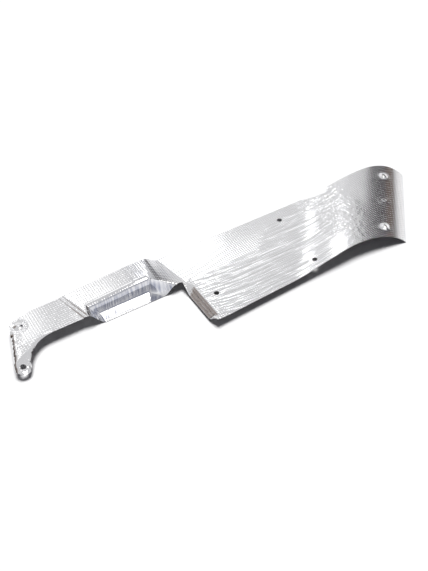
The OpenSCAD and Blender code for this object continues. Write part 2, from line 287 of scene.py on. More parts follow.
LEFT_DIR, LEFT_OUT = polar(1, 90 - LEFT_LEAN), polar(1, 180 - LEFT_LEAN)
LEFT_START = TIP + TIP_R * LEFT_OUT
LEFT_TOP = LEFT_START + LEFT_DIR * (CORNER_Y - LEFT_START[1]) / LEFT_DIR[1]
SIDE_OUT = polar(1, SIDE_DIR - 90)
SIDE_END = TIP + TIP_R * SIDE_OUT
NECK_Y = FOOT_FRONT_Y - NECK_R
NECK_X = (NECK_R + SIDE_END @ SIDE_OUT - NECK_Y * SIDE_OUT[1]) / SIDE_OUT[0]
NECK = np.array([NECK_X, NECK_Y])
NECK_START = NECK - NECK_R * SIDE_OUT

# Slanted end with its arch, and the relief in the back edge before it
END_CORNER, END_TURN, END_L = np.array([283.5, -47.5]), 40.0, 155.0
END_DIR, END_OUT = polar(1, 90 - END_TURN), polar(1, -END_TURN)
BACK_CORNER = END_CORNER + END_L * END_DIR
ARCH_H, CREST_L, RISE_L = 22.5, 72.0, 80.0
RELIEF_DEPTH, RELIEF_X, RELIEF_IN_L, RELIEF_OUT_L = 9.5, 243.0, 39, 11
RELIEF_START, RELIEF_END = RELIEF_X - RELIEF_IN_L, RELIEF_X + RELIEF_OUT_L
FLARE_L, FLARE_BACK_L, FLARE_BACK_BEND = 83.5, 73.0, 2.4
FLARE_X, FLARE_BACK_X = END_CORNER[0] - FLARE_L, BACK_CORNER[0] - FLARE_BACK_L
NARROW_Y = FRONT_Y - FRONT_TAPER

# Domes and holes
DOME_D, DOME_H, DOME_INSET, DOME_FRONT, DOME_BACK = 13.0, 2.6, 32.0, 8.0, 124.0
DOME_FLAT, DOME_REACH = 1.2, 0.58
MIDDLE_DOME, FOOT_DOME = 0.55, 0.9
FOOT_DOME_AT = np.array([LEFT_TOP[0] + 8.5, CORNER_Y - 9])
HOLES = (np.array([0.0, 0.0]), np.array([153.0, 75.0]), np.array([144.0, -19.0]))
HOLE_SIDES, CUTTER_L = 64, 12.0


def from_end(x, y):
    """Distance in from the slanted end."""
    return (END_CORNER[0] - x) * END_OUT[0] + (END_CORNER[1] - y) * END_OUT[1]


def from_left(x, y):
    """Distance in from the left edge of the foot."""
    return (LEFT_TOP[0] - x) * LEFT_OUT[0] + (LEFT_TOP[1] - y) * LEFT_OUT[1]


def end_point(along, inset):
    """A place by its distance along the slanted end and in from it."""
    return END_CORNER + along * END_DIR - inset * END_OUT


# Where each dome stands, and its size as a share of the largest
DOMES = (
    (end_point(DOME_FRONT, DOME_INSET), 1.0),
    (end_point((DOME_FRONT + DOME_BACK) / 2, DOME_INSET), MIDDLE_DOME),
    (end_point(DOME_BACK, DOME_INSET), 1.0),
    (FOOT_DOME_AT, FOOT_DOME),
)


# Outline of the sheet: Y of its edges, over X


def back_edge(x):
    corner = CORNER_DROP * clamp((LEFT_TOP[0] + CORNER_RUN - x) / CORNER_RUN) ** CORNER_BEND
    relief = RELIEF_DEPTH * np.interp(x, [RELIEF_START, RELIEF_X, RELIEF_END], [0, 1, 0])
    end = (BACK_Y - BACK_CORNER[1]) * clamp((x - FLARE_BACK_X) / FLARE_BACK_L) ** FLARE_BACK_BEND
    return BACK_Y - corner - relief - end


def front_edge(x):
    taper = mix(FRONT_Y, NARROW_Y, clamp((x + FOLD_X) / (FLARE_X + FOLD_X)))
    return -taper - (-END_CORNER[1] - NARROW_Y) * clamp((x - FLARE_X) / FLARE_L) ** 2


def arm_edge(x):
    return mix(FOOT_FRONT_Y, NOTCH_Y, ramp(x, -STEP_X, -RECESS_LEFT_X))


# Lines across the sheet, from the back edge over ridge and wall foot to the notch line.
# The rows of each band and the columns of each stretch are multiplied by the fineness.
PANEL_ROWS, TOP_BEND_ROWS, FOOT_BEND_ROWS, LOW_ROWS, FRONT_ROWS = 7, 3, 2, 4, 24
WALL_ROWS = TOP_BEND_ROWS + 1 + FOOT_BEND_ROWS
NOTCH_ROW = PANEL_ROWS + WALL_ROWS + LOW_ROWS
LAST_ROW = NOTCH_ROW + FRONT_ROWS
TIP_COLS, SIDE_COLS, NECK_COLS, FOOT_COLS, FLANGE_COLS = 6, 2, 6, 4, 4
LEAD_COLS, RAMP_COLS, RECESS_COLS, RIGHT_COLS, SLOPE_COLS = 1, 4, 6, 3, 5
PLATE_COLS = (11, 7, 3, 1, 4, 6, 6)

# How far the lines lean at the back edge, at the ridge and before the ramp
BACK_SET, RIDGE_SET, LEAD_SET, RAMP_SET = 8, 2, 4, 7

# Shares of the slope's width at which two lines of its right wall and its foot meet the back edge
SLOPE_BACK_SHARES = (0.25, 0.75)

# Stations of the plate along its front edge and its back edge
CREST_BEFORE_FRONT, CREST_BEFORE_BACK, LAST_L = 1.02, 1.15, 26
FRONT_MARKS = (
    FOLD_IN_X,
    100,
    155,
    180,
    187,
    END_CORNER[0] - CREST_L * CREST_BEFORE_FRONT,
    END_CORNER[0] - LAST_L,
    END_CORNER[0],
)
BACK_MARKS = (
    FOLD_IN_X,
    105,
    RELIEF_START,
    RELIEF_X,
    RELIEF_END,
    BACK_CORNER[0] - CREST_L * CREST_BEFORE_BACK,
    BACK_CORNER[0] - LAST_L,
    BACK_CORNER[0],
)

# Share of the plate's width that lies behind the notch row, over X
PLATE_SPLIT_X = (-FOLD_X, 10, 60, FLARE_X, END_CORNER[0])
PLATE_SPLIT = ((BACK_Y - NOTCH_Y) / (BACK_Y + FRONT_Y), 0.47, 0.54, 0.54, 0.41)


def spread(a, b, n):
    """Even places from a up to b, without b."""
    a, b = np.asarray(a, float), np.asarray(b, float)
    return [mix(a, b, k / n) for k in range(n)]


def between(a, b, n):
    """Even places from a to b, without a."""
    return [mix(a, b, k / n) for k in range(1, n + 1)]


def even_line(back, notch):
    """A line across the sheet whose bands share its length by their rows."""
    ridge = mix(back, notch, PANEL_ROWS / NOTCH_ROW)
    foot = mix(back, notch, (PANEL_ROWS + WALL_ROWS) / NOTCH_ROW)
    return np.array([back, ridge, foot, notch])


def arm_line(back, notch):
    """A line across the arm that meets the ridge and the foot of the wall."""
    width = back[1] - notch[1]
    ridge = mix(back, notch, (back[1] - RIDGE_Y) / width)
    foot = mix(back, notch, (back[1] - WALL_Y) / width)
    return np.array([back, ridge, foot, notch])


def foot_lines(fine):
    """Lines across the foot, from the left edge round the lobe and the neck to the first step."""
    front = [TIP + polar(TIP_R, a) for a in spread(180 - LEFT_LEAN, 270 + SIDE_DIR, TIP_COLS * fine)]
    front += spread(SIDE_END, NECK_START, SIDE_COLS * fine)
    front += [NECK + polar(NECK_R, a) for a in spread(90 + SIDE_DIR, 90, NECK_COLS * fine)]
    front += spread([NECK_X, FOOT_FRONT_Y], [-STEP_X, FOOT_FRONT_Y], FOOT_COLS * fine)
    lines = []
    for k, notch in enumerate(front):
        x = mix(LEFT_TOP[0], -STEP_X - STEP_SKEW, k / len(front))
        back = np.array([x, back_edge(x)])
        share = (k / len(front)) ** 2 if notch[0] > LOBE_END_X else 0
        lines.append(mix(even_line(back, notch), arm_line(back, notch), share))
    return lines


def arm_lines(fine):
    """Lines across the steps, the recess and the slope, and those of the return flange."""
    marks = [-STEP_X]
    for end in (STEP_RUN, STEP_GAP, STEP_GAP + STEP_RUN):
        marks += [mix(marks[-1], end - STEP_X, k / fine) for k in range(1, fine + 1)]
    lines = [arm_line(np.array([x - STEP_SKEW, BACK_Y]), np.array([x, arm_edge(x)])) for x in marks]
    top_x, left_x = RAMP_TOP_X + RAMP_SET, -RECESS_LEFT_X
    slope_back = [[-mix(SLOPE_TOP[0], SLOPE_FOOT[0], share), BACK_Y] for share in SLOPE_BACK_SHARES]
    ramp_top = np.array(
        [
            [ARM_START - LEAD_SET, BACK_Y],
            [top_x + RIDGE_SET, RIDGE_Y],
            [top_x, WALL_Y],
            [top_x, arm_edge(top_x)],
        ]
    )
    ramp_foot = np.array(
        [[left_x - BACK_SET, BACK_Y], [left_x - RIDGE_SET, RIDGE_Y], [left_x, WALL_Y], [left_x, NOTCH_Y]]
    )
    right_foot = np.array(
        [
            [-SLOPE_TOP[0], BACK_Y],
            [-RIGHT_FOOT[0] - RIDGE_SET, RIDGE_Y],
            [-RIGHT_FOOT[0], WALL_Y],
            [-RIGHT_FOOT[1], NOTCH_Y],
        ]
    )
    right_top = np.array(
        [
            slope_back[0],
            [-RIGHT_TOP[0] - RIDGE_SET, RIDGE_Y],
            [-RIGHT_TOP[0], WALL_Y],
            [-RIGHT_TOP[1], NOTCH_Y],
        ]
    )
    flange = arm_line(np.array(slope_back[1]), np.array([FLANGE_OUT_X, NOTCH_Y]))
    fold = even_line(np.array([-FOLD_X, BACK_Y]), np.array([FOLD_IN_X, NOTCH_Y]))
    for following, columns in (
        (ramp_top, LEAD_COLS),
        (ramp_foot, RAMP_COLS),
        (right_foot, RECESS_COLS),
        (right_top, RIGHT_COLS),
        (flange, SLOPE_COLS),
    ):
        lines += between(lines[-1], following, columns * fine)
    return lines, between(flange, fold, FLANGE_COLS * fine)


def plate_lines(fine):
    """Lines across the plate and the arch, which turn to the slant of the end."""
    lines = []
    for part, count in enumerate(PLATE_COLS):
        n = count * fine
        last = 1 if part == len(PLATE_COLS) - 1 else 0
        for k in range(n + last):
            back_x = mix(BACK_MARKS[part], BACK_MARKS[part + 1], k / n)
            front_x = mix(FRONT_MARKS[part], FRONT_MARKS[part + 1], k / n)
            back = np.array([back_x, back_edge(back_x)])
            front = np.array([front_x, front_edge(front_x)])
            split = np.interp(front_x, PLATE_SPLIT_X, PLATE_SPLIT)
            lines.append(np.vstack([even_line(back, mix(back, front, split)), front]))
    return lines


def wall_places():
    """Shares of the wall's run at which its rows lie: close together round both bends."""
    top = [RIDGE_R * math.sin(WALL_LEAN * k / TOP_BEND_ROWS) for k in range(TOP_BEND_ROWS + 1)]
    foot = [WALL_FOOT_R * math.sin(WALL_LEAN * k / FOOT_BEND_ROWS) for k in range(FOOT_BEND_ROWS, -1, -1)]
    return np.array(top + [WALL_RUN - run for run in foot]) / WALL_RUN


def row_point(line, row):
    """Place in plan of a row, a real number, on a line across the sheet."""
    if row <= PANEL_ROWS:
        return mix(line[0], line[1], row / PANEL_ROWS)
    if row <= PANEL_ROWS + WALL_ROWS:
        x = line[3][0]
        crowd = ramp(x, RAMP_TOP_X, -RECESS_LEFT_X) * (1 - ramp(x, -RIGHT_TOP[1], -FOLD_X))
        tight = np.interp(row - PANEL_ROWS, range(WALL_ROWS + 1), wall_places())
        return mix(line[1], line[2], mix((row - PANEL_ROWS) / WALL_ROWS, tight, crowd))
    if row <= NOTCH_ROW:
        return mix(line[2], line[3], (row - PANEL_ROWS - WALL_ROWS) / LOW_ROWS)
    return mix(line[3], line[4], (row - NOTCH_ROW) / FRONT_ROWS)


def flange_share(y):
    """How far the return flange leans along the notch: hardly at all at its front end."""
    end = mix(FLANGE_END_LEAN, 1, soft((y + FRONT_Y) / FLANGE_END_L))
    return soft((NOTCH_Y - y) / FLANGE_OPEN_L) * end


def flange_point(x, row):
    """Place in plan of a row of the return flange, which narrows to its front end."""
    y = mix(NOTCH_Y, -FRONT_Y, (row - NOTCH_ROW) / FRONT_ROWS)
    if x > -FOLD_X:
        return np.array([x, y])
    return np.array([-FOLD_X + (x + FOLD_X) * mix(FLANGE_END_W, 1, soft((y + FRONT_Y) / FLANGE_END_L)), y])


# Heights of the pressed form


def steps_up(x, y):
    """Rise of the two small steps between foot and arm."""
    t = (y - FOOT_FRONT_Y) / (BACK_Y - FOOT_FRONT_Y)
    q = x + STEP_SKEW * t + STEP_X
    both = ramp(q, 0, STEP_RUN) + ramp(q, STEP_GAP, STEP_GAP + STEP_RUN)
    return STEP_H * mix(1, STEP_BACK_SHARE, clamp(t)) * both


def panel(x, y):
    """Height of foot and arm without the recess."""
    start = ARM_START - STEP_SKEW * clamp((y - FOOT_FRONT_Y) / (BACK_Y - FOOT_FRONT_Y))
    rise = clamp((x - start) / (-ARM_HIGH_X - start))
    return FOOT_H + steps_up(x, y) + (ARM_H - FOOT_H - 2 * STEP_H) * rise


def slope(x, y):
    """How far down the slope from arm to plate a place lies."""
    t = (BACK_Y - y) / (BACK_Y - NOTCH_Y)
    top = mix(SLOPE_TOP[0], SLOPE_TOP[1], t)
    return soft((x + top) / (top - mix(SLOPE_FOOT[0], SLOPE_FOOT[1], t)))


def arch(d):
    """Height of the arch over the plate at a distance from the slanted end."""
    far = (ARCH_H - PLATE_H) * (1 + np.cos(np.pi * clamp((d - CREST_L) / RISE_L))) / 2
    near = SHEET_T / 2 - PLATE_H + (ARCH_H - SHEET_T / 2) * (1 - (1 - clamp(d / CREST_L)) ** 3)
    return np.where(d > CREST_L, far, near)


def wall_down(s, depth):
    """Depth of the steep wall at a distance from the ridge, with both its bends."""
    top_s, top_d = RIDGE_R * math.sin(WALL_LEAN), RIDGE_R * (1 - math.cos(WALL_LEAN))
    foot_s = WALL_RUN - WALL_FOOT_R * math.sin(WALL_LEAN)
    foot_d = WALL_FOOT_R * (1 - math.cos(WALL_LEAN))
    bend = RIDGE_R - np.sqrt(np.maximum(0, RIDGE_R**2 - s * s))
    wall = mix(top_d, depth - foot_d, (s - top_s) / (foot_s - top_s))
    lip = depth - WALL_FOOT_R + np.sqrt(np.maximum(0, WALL_FOOT_R**2 - (WALL_RUN - s) ** 2))
    return np.select([s <= 0, s < top_s, s < foot_s, s < WALL_RUN], [0 * s, bend, wall, lip], depth)


def recess_share(x, y, depth):
    """How far down the recess a place lies: nought on the panel, one on the low flange."""
    depth = np.maximum(depth, SHEET_T)
    left_top = RAMP_TOP_X + RAMP_SKEW * clamp((y - NOTCH_Y) / (RIDGE_Y - NOTCH_Y))
    left = soft((x - left_top) / (-RECESS_LEFT_X - left_top))
    t = clamp((WALL_Y - y) / (WALL_Y - NOTCH_Y))
    top = -mix(RIGHT_TOP[0], RIGHT_TOP[1], t)
    foot = -mix(RIGHT_FOOT[0], RIGHT_FOOT[1], t)
    right = soft((top - x) / (top - foot))
    front = wall_down(RIDGE_Y - y, depth) / depth
    corner = np.maximum(0, 1 - np.hypot(1 - front, 1 - right))
    return np.minimum(left, corner)


def lobe_down(x, y):
    """Drop of the lobe, which is tilted about a slanting crease."""
    past = (x - LOBE_CREASE_AT[0]) * LOBE_CREASE_OUT[0] + (y - LOBE_CREASE_AT[1]) * LOBE_CREASE_OUT[1]
    return math.tan(math.radians(LOBE_TILT)) * np.maximum(0, np.minimum(past, (LOBE_END_X - x) * LOBE_BLEND))


def rim_down(x, y):
    """Drop of the rolled rim along the left edge, round the tip and into the neck."""
    neck = np.where(x > LOBE_END_X, RIM_W, np.hypot(x - NECK[0], y - NECK[1]) - NECK_R)
    up = (x - TIP[0]) * LEFT_DIR[0] + (y - TIP[1]) * LEFT_DIR[1] > 0
    tip = np.where(up, RIM_W, TIP_R - np.hypot(x - TIP[0], y - TIP[1]))
    left = RIM_DROP * (1 - clamp(from_left(x, y) / RIM_W)) ** 2 * soft((RIM_TOP_Y - y) / RIM_FADE_L)
    share = NECK_RIM_SHARE * ramp(LOBE_END_X - x, 0, NECK_RIM_FADE_L)
    return left + share * RIM_DROP * (1 - clamp(np.minimum(neck, tip) / RIM_W)) ** 2


def fold_down(x, y):
    """Drop of the return flange."""
    lean = FLANGE_DROP * (-FOLD_X - x) / FLANGE_RUN * flange_share(y)
    return np.where((y > NOTCH_Y) | (x > -FOLD_X) | (x < FLANGE_OUT_X - 1), 0, lean)


def domes_up(x, y):
    height = 0 * x
    for at, size in DOMES:
        r = np.hypot(x - at[0], y - at[1])
        dome = DOME_H * size * soft(DOME_FLAT * (1 - r / (DOME_REACH * DOME_D * size)))
        height = np.maximum(height, dome)
    return height


def form_height(x, y):
    """Height of the middle of the sheet over the plate."""
    top = mix(panel(x, y), PLATE_H, slope(x, y)) + arch(from_end(x, y))
    depth = top - SHEET_T / 2
    height = top - depth * recess_share(x, y, depth) - fold_down(x, y)
    lobe = np.where(x < LOBE_END_X, lobe_down(x, y) + rim_down(x, y), 0)
    return height - lobe + domes_up(x, y) - PLATE_H


# How far back the plate is creased, over X, and how the creases begin and end
WORKED_X, WORKED_BACK_Y = (-FOLD_X, 90, 123, RELIEF_START), (NOTCH_Y, NOTCH_Y, 72, 88)
WORKED_FADE_L, WORKED_START_L = 5, 8
WORKED_END = (CREST_L + 20, CREST_L + 45)

# How much each place is crumpled
CRUMPLED_LOBE, CRUMPLED_LEFT, CRUMPLED_FLANGE, CRUMPLED_DOMES = 0.8, 0.9, 0.35, 0.8

# How much the slope's top bend is drawn and gets the painted wall reflection, against one for the walls
DRAWN_BEND = 0.3

# How much of the lattice's depth is lost at each place
FLAT_LOW, FLAT_FOOT, FLAT_ARM, FLAT_RIDGE, FLAT_WORKED, FLAT_DOMES = 0.9, 0.75, 0.5, 0.85, 0.35, 0.8

# Where these zones begin and end: along X or Y, from the slanted end, the left edge or a dome, or by depth
ARCH_FOOT_X, ARCH_SIDE_X, ARCH_FOOT_FROM_END = (185, 215), (250, 275), (CREST_L - 25, CREST_L + 5)
LOBE_ZONE_X, LOBE_ZONE_Y, LEFT_ZONE = (-235, -255), (40, 60), (4, 14)
FOLD_ZONE_X, FOLD_OUT_X, FOLD_ZONE_Y = (-FOLD_X - 1, -FOLD_X), -FOLD_X - 15, (NOTCH_Y - 3, NOTCH_Y)
RECESS_ZONE_X, LOW_ZONE = (-160, -142), (0.9, 1.0)
BEND_FROM_X, BEND_TO_X, BEND_ZONE_Y = (-95, -75), (-45, -20), (40, 60)
FOOT_ZONE_X, ARM_ZONE_X = (-STEP_X - 5, -STEP_X + 5), (-95, -80)
RIDGE_ZONE_Y, RIDGE_FROM_X, RIDGE_TO_X = (RIDGE_Y + 4, RIDGE_Y + 12), (-150, -140), (-60, -45)
DOME_CRUMPLED, DOME_FLATTENED = (5, 13), (3, 8)

# Long creases: pitch and height of each set, their breadth, and how they fan out from the notch
CREASE_SETS = ((7.1, 1.0), (4.7, 0.8), (3.3, 0.5))
CREASE_W, FAN_RISE, FAN_L = 3.2, 13, 33
# Sway of a crease and swelling along it: size, length, and how it differs from one crease to the next
SWAYS = ((0.08, 37, 1), (0.03, 9, 2))
SWELLS = ((0.7, 27, 2.4), (0.5, 11, 4.1))
SWELL_LEVEL = 0.1
HOLE_CLEAR_R, HOLE_FADE_L = 4.5, 9


def round_domes(x, y, near, far):
    """One at each dome, down to nought from the near to the far distance."""
    share = 0 * x
    for at, _ in DOMES:
        share = np.maximum(share, 1 - ramp(np.hypot(x - at[0], y - at[1]), near, far))
    return share


def worked_share(x, y):
    """How much the pressing has creased the plate: all in front, little at the back."""
    back = np.interp(x, WORKED_X, WORKED_BACK_Y)
    front = 1 - ramp(y, back - WORKED_FADE_L, back)
    return ramp(x, -FOLD_X, WORKED_START_L - FOLD_X) * front * ramp(from_end(x, y), *WORKED_END)


def crumpled_share(x, y):
    """How much the sheet is crumpled: before the arch, on lobe and flange, and round the domes."""
    arch_side = 1 - ramp(x, *ARCH_SIDE_X)
    before = ramp(x, *ARCH_FOOT_X) * arch_side * ramp(from_end(x, y), *ARCH_FOOT_FROM_END)
    lobe = CRUMPLED_LOBE * ramp(x, *LOBE_ZONE_X) * (1 - ramp(y, *LOBE_ZONE_Y))
    left = CRUMPLED_LEFT * (1 - ramp(from_left(x, y), *LEFT_ZONE))
    fold = (1 - ramp(x, *FOLD_ZONE_X)) * (x > FOLD_OUT_X)
    flange = CRUMPLED_FLANGE * fold * (1 - ramp(y, *FOLD_ZONE_Y))
    domes = CRUMPLED_DOMES * round_domes(x, y, *DOME_CRUMPLED)
    return np.max([before, lobe, left, flange, domes], axis=0)


def drawn_and_reflection_share(x, y):
    """How much the press has drawn the sheet, which sets the draw-mark bumps and where the painted blue-grey
    reflection lies: most down the walls of the recess, less on the slope.
    """
    down = recess_share(x, y, panel(x, y))
    walls = 4 * down * (1 - down) * ramp(x, *RECESS_ZONE_X)
    bend = DRAWN_BEND * ramp(x, *BEND_FROM_X) * (1 - ramp(x, *BEND_TO_X)) * ramp(y, *BEND_ZONE_Y)
    return np.maximum(walls, bend)


def pressed_share(x, y):
    """How deep the lattice stands: full on the plate and the arch, less where the sheet was worked."""
    down = recess_share(x, y, panel(x, y))
    low = FLAT_LOW * ramp(down, *LOW_ZONE) * ramp(x, *RECESS_ZONE_X)
    foot = FLAT_FOOT * (1 - ramp(x, *FOOT_ZONE_X))
    arm = FLAT_ARM * (1 - ramp(x, *ARM_ZONE_X))
    ridge = FLAT_RIDGE * (1 - ramp(y, *RIDGE_ZONE_Y)) * ramp(x, *RIDGE_FROM_X) * (1 - ramp(x, *RIDGE_TO_X))
    worked = FLAT_WORKED * worked_share(x, y)
    domes = FLAT_DOMES * round_domes(x, y, *DOME_FLATTENED)
    return 1 - np.max([low, foot, arm, ridge, worked, domes], axis=0)


def creases(x, y, crease_h):
    """Long thin creases that fan out from the notch."""
    clear = np.ones_like(x)
    for hole in HOLES:
        away = np.hypot(x - hole[0], y - hole[1])
        clear = np.minimum(clear, soft((away - HOLE_CLEAR_R) / HOLE_FADE_L))
    q = y + FAN_RISE * (1 - np.exp(-(x + FOLD_X) / FAN_L))
    height = 0 * x
    for pitch, share in CREASE_SETS:
        wave = q / pitch
        for size, length, turn in SWAYS:
            wave = wave + size * np.sin(x / length + turn * pitch)
        crease = np.floor(wave)
        strength = SWELL_LEVEL
        for size, length, turn in SWELLS:
            strength = strength + size * np.sin(x / length + crease * turn)
        off_middle = np.abs(wave - crease - 0.5) * 2
        height = height + share * clamp(strength) * clamp(1 - off_middle * pitch / CREASE_W)
    return clear * worked_share(x, y) * crease_h * height


# Blender helpers


def only(obj):
    """Selects one object alone."""
    bpy.ops.object.select_all(action="DESELECT")
    obj.select_set(True)
    bpy.context.view_layer.objects.active = obj


def apply_modifier(obj, kind, **values):
    """Adds a modifier with its settings and applies it."""
    only(obj)
    modifier = obj.modifiers.new(kind.title(), kind)
    for key, value in values.items():
        setattr(modifier, key, value)
    bpy.ops.object.modifier_apply(modifier=modifier.name)


def delete_faces(obj, marked):
    """Deletes the marked faces in edit mode."""
    only(obj)
    bpy.ops.object.mode_set(mode="EDIT")
    bpy.ops.mesh.select_mode(type="FACE")
    bpy.ops.mesh.select_all(action="DESELECT")
    bpy.ops.object.mode_set(mode="OBJECT")
    obj.data.polygons.foreach_set("select", marked)
    bpy.ops.object.mode_set(mode="EDIT")
    bpy.ops.mesh.delete(type="FACE")
    bpy.ops.object.mode_set(mode="OBJECT")


def face_centres(mesh):
    """X, Y and Z of the middles of all faces."""
    centres = np.empty(len(mesh.polygons) * 3)
    mesh.polygons.foreach_get("center", centres)
    return centres.reshape(-1, 3).T


# Edges below this angle are smooth, a hole's slope is taken over this step on each side, and a face counts
# as cut where its middle lies within this share of the thickness from the middle of the sheet
SMOOTH_ANGLE = math.radians(40)
SLOPE_STEP = 2.0
CUT_SHARE = 0.3


class SHIELD_OT_press_sheet(bpy.types.Operator):
    """Press the shield from one flat blank, pierce its holes and give it its embossed finish"""

    bl_idname = "shield.press_sheet"
    bl_label = "Press the sheet"

    def execute(self, context):
        sizes = context.scene.shield_sizes
        blank, rows, lines, first_wide = self.cut_blank(sizes)
        self.press(blank, sizes, rows, lines, first_wide)
        self.pierce(blank, sizes)
        self.mark_cut(blank, sizes)
        blank.data.materials.clear()
        blank.data.materials.append(embossed_aluminium(context.scene.shield_finish))
        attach(blank, "root")
        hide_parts("shield")
        return {"FINISHED"}

    def cut_blank(self, sizes):
        """A flat grid with one column for each line and one row for each step across, less the notch."""
        foot = foot_lines(sizes.fine_along)
        arm, flange = arm_lines(sizes.fine_along)
        lines = foot + arm + flange + plate_lines(sizes.fine_along)
        first_wide = len(foot) + len(arm) - 1
        rows = np.arange(LAST_ROW * sizes.fine_across + 1) / sizes.fine_across
        bpy.ops.object.select_all(action="DESELECT")
        bpy.ops.mesh.primitive_grid_add(
            x_subdivisions=len(lines) - 1,
            y_subdivisions=len(rows) - 1,
            size=1,
            location=(0, 0, 0),
        )
        blank = bpy.context.object
        blank.name = "pressed_sheet"
        blank.data.name = "pressed_sheet"
        x, y, _ = face_centres(blank.data)
        column = (x + 0.5) * (len(lines) - 1)
        row = (0.5 - y) * (len(rows) - 1) / sizes.fine_across
        delete_faces(blank, (column < first_wide) & (row > NOTCH_ROW))
        return blank, rows, lines, first_wide

    def press(self, blank, sizes, rows, lines, first_wide):
        """Moves every corner of the blank to its place, then gives the sheet its thickness."""
        mesh = blank.data
        flat = np.empty(len(mesh.vertices) * 3)
        mesh.vertices.foreach_get("co", flat)
        column = np.rint((flat[0::3] + 0.5) * (len(lines) - 1)).astype(int)
        row = np.rint((0.5 - flat[1::3]) * (len(rows) - 1)).astype(int)
        flange_end = first_wide + FLANGE_COLS * sizes.fine_along
        place = np.empty((len(column), 2))
        for k, (i, j) in enumerate(zip(column, row)):
            if first_wide <= i <= flange_end and rows[j] > NOTCH_ROW:
                place[k] = flange_point(lines[i][3][0], rows[j])
            else:
                place[k] = row_point(lines[i], rows[j])
        x, y = place.T
        z = form_height(x, y) + creases(x, y, sizes.crease_h / MM)
        flat[0::3], flat[1::3], flat[2::3] = x * MM, y * MM, z * MM
        mesh.vertices.foreach_set("co", flat)
        for name, share in (
            ("worked", worked_share(x, y)),
            ("crumpled", crumpled_share(x, y)),
            # The drawn share also says where the painted wall reflection lies
            ("drawn", drawn_and_reflection_share(x, y)),
            ("pressed", pressed_share(x, y)),
        ):
            mesh.attributes.new(name, "FLOAT", "POINT").data.foreach_set("value", share)
        mesh.update()
        apply_modifier(blank, "SOLIDIFY", thickness=sizes.thickness, offset=0.0)

    def pierce(self, blank, sizes):
        """Cuts the four fixing holes square to the sheet."""
        cutters = []
        for at in (*HOLES, TIP):
            x = at[0] + SLOPE_STEP * np.array([0, 1, -1, 0, 0])
            y = at[1] + SLOPE_STEP * np.array([0, 0, 0, 1, -1])
            z = form_height(x, y)
            normal = Vector((-(z[1] - z[2]) / (2 * SLOPE_STEP), -(z[3] - z[4]) / (2 * SLOPE_STEP), 1))
            bpy.ops.object.select_all(action="DESELECT")
            bpy.ops.mesh.primitive_cylinder_add(
                vertices=HOLE_SIDES,
                radius=sizes.hole_d / 2,
                depth=CUTTER_L * MM,
                location=(at[0] * MM, at[1] * MM, z[0] * MM),
                rotation=normal.normalized().to_track_quat("Z", "Y").to_euler(),
            )
            cutters.append(bpy.context.object)
        for cutter in cutters:
            cutter.select_set(True)
        bpy.ops.object.join()
        cutter = bpy.context.object
        apply_modifier(blank, "BOOLEAN", operation="DIFFERENCE", solver="EXACT", object=cutter)
        bpy.data.objects.remove(cutter)
        only(blank)
        bpy.ops.object.shade_smooth_by_angle(angle=SMOOTH_ANGLE)

    def mark_cut(self, blank, sizes):
        """Marks the faces between the two skins, which the shears and the punches left dull; the material
        paints them near black, which also paints the contact shade along the edges that touch the floor.
        """
        x, y, z = face_centres(blank.data) / MM
        middle = form_height(x, y) + creases(x, y, sizes.crease_h / MM)
        cut = np.abs(z - middle) < CUT_SHARE * sizes.thickness / MM
        blank.data.attributes.new("cut", "FLOAT", "FACE").data.foreach_set("value", cut.astype(float))


# Helpers for nodes, which stand this far apart, and the detail of the stretched noises
NODE_APART = (220, 300)
STRETCHED_DETAIL = 1.5


def node(tree, kind, inputs=(), **values):
    """A node with its settings, and its inputs as plain values or linked from other sockets."""
    made = tree.nodes.new(kind)
    for key, value in values.items():
        setattr(made, key, value)
    for name, value in dict(inputs).items():
        if isinstance(value, bpy.types.NodeSocket):
            tree.links.new(value, made.inputs[name])
        else:
            made.inputs[name].default_value = value
    return made


def work_out(tree, operation, *values):
    """A Math node over sockets and plain numbers."""
    return node(tree, "ShaderNodeMath", enumerate(values), operation=operation).outputs["Value"]


def map_range(tree, value, start, end, low, high, **values):
    """Carries a range of a socket's values over to another range."""
    inputs = {"From Min": start, "From Max": end, "To Min": low, "To Max": high, "Value": value}
    return node(tree, "ShaderNodeMapRange", inputs, **values).outputs["Result"]


def smooth_step(tree, value, start, end):
    """Nought at the start and one at the end, whichever of them is larger."""
    low, high = (1.0, 0.0) if start > end else (0.0, 1.0)
    limits = min(start, end), max(start, end)
    return map_range(tree, value, *limits, low, high, interpolation_type="SMOOTHSTEP")


def soft_band(tree, value, low, high, softness):
    """One between two values, with soft ends."""
    up = smooth_step(tree, value, low - softness / 2, low + softness / 2)
    down = smooth_step(tree, value, high + softness / 2, high - softness / 2)
    return work_out(tree, "MULTIPLY", up, down)


def blend(tree, share, under, colour):
    """Lays a plain colour over another by a share."""
    inputs = {"Factor": share, "A": under, "B": (*colour, 1)}
    return node(tree, "ShaderNodeMix", inputs, data_type="RGBA").outputs["Result"]


def share_of(tree, name):
    """How much of a named share of the sheet a place has."""
    return node(tree, "ShaderNodeAttribute", attribute_name=name).outputs["Fac"]


def noise(tree, vector, scale, detail, roughness=0.5):
    """Even noise over the sheet's own space."""
    inputs = {"Scale": scale, "Detail": detail, "Roughness": roughness, "Vector": vector}
    return node(tree, "ShaderNodeTexNoise", inputs).outputs["Fac"]


def stretched_noise(tree, vector, stretch, scale, roughness):
    """Noise over the sheet's own space, drawn out along one direction."""
    drawn_out = node(tree, "ShaderNodeMapping", {"Scale": stretch, "Vector": vector})
    return noise(tree, drawn_out.outputs["Vector"], scale, STRETCHED_DETAIL, roughness)


def bump(tree, relief, depth, below=None):
    """Bumps of a relief, laid over those below it where there are any."""
    inputs = {"Strength": 1.0, "Distance": depth, "Height": relief}
    if below is not None:
        inputs["Normal"] = below
    return node(tree, "ShaderNodeBump", inputs).outputs["Normal"]


